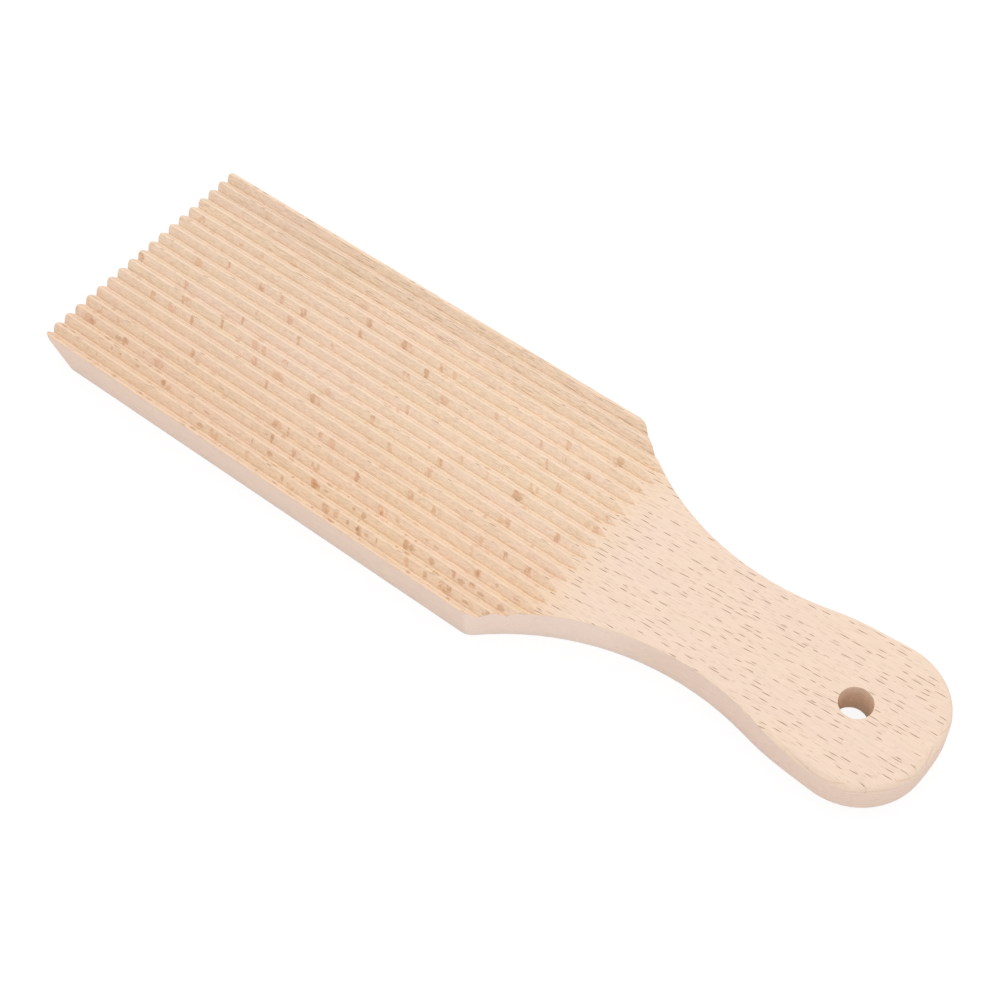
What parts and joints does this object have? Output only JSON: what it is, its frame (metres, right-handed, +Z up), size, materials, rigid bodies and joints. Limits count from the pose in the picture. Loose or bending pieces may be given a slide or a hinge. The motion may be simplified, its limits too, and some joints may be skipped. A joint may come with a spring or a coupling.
{
  "type": "gnocchi board",
  "caption": "Flat wooden paddle with a grooved blade for rolling ridges onto gnocchi, a waisted neck and a rounded grip with a hanging hole.",
  "frame": {"origin": "middle of the board's length and width, on its flat back", "axes": "+X along the board from the blade end towards the handle end, +Y across the board, +Z up out of the grooved face"},
  "size_m": [0.218, 0.064, 0.0086],
  "materials": {
    "beech": "bare, fine sanded"
  },
  "bodies": {
    "root": {"board": "beech"}
  },
  "joints": []
}
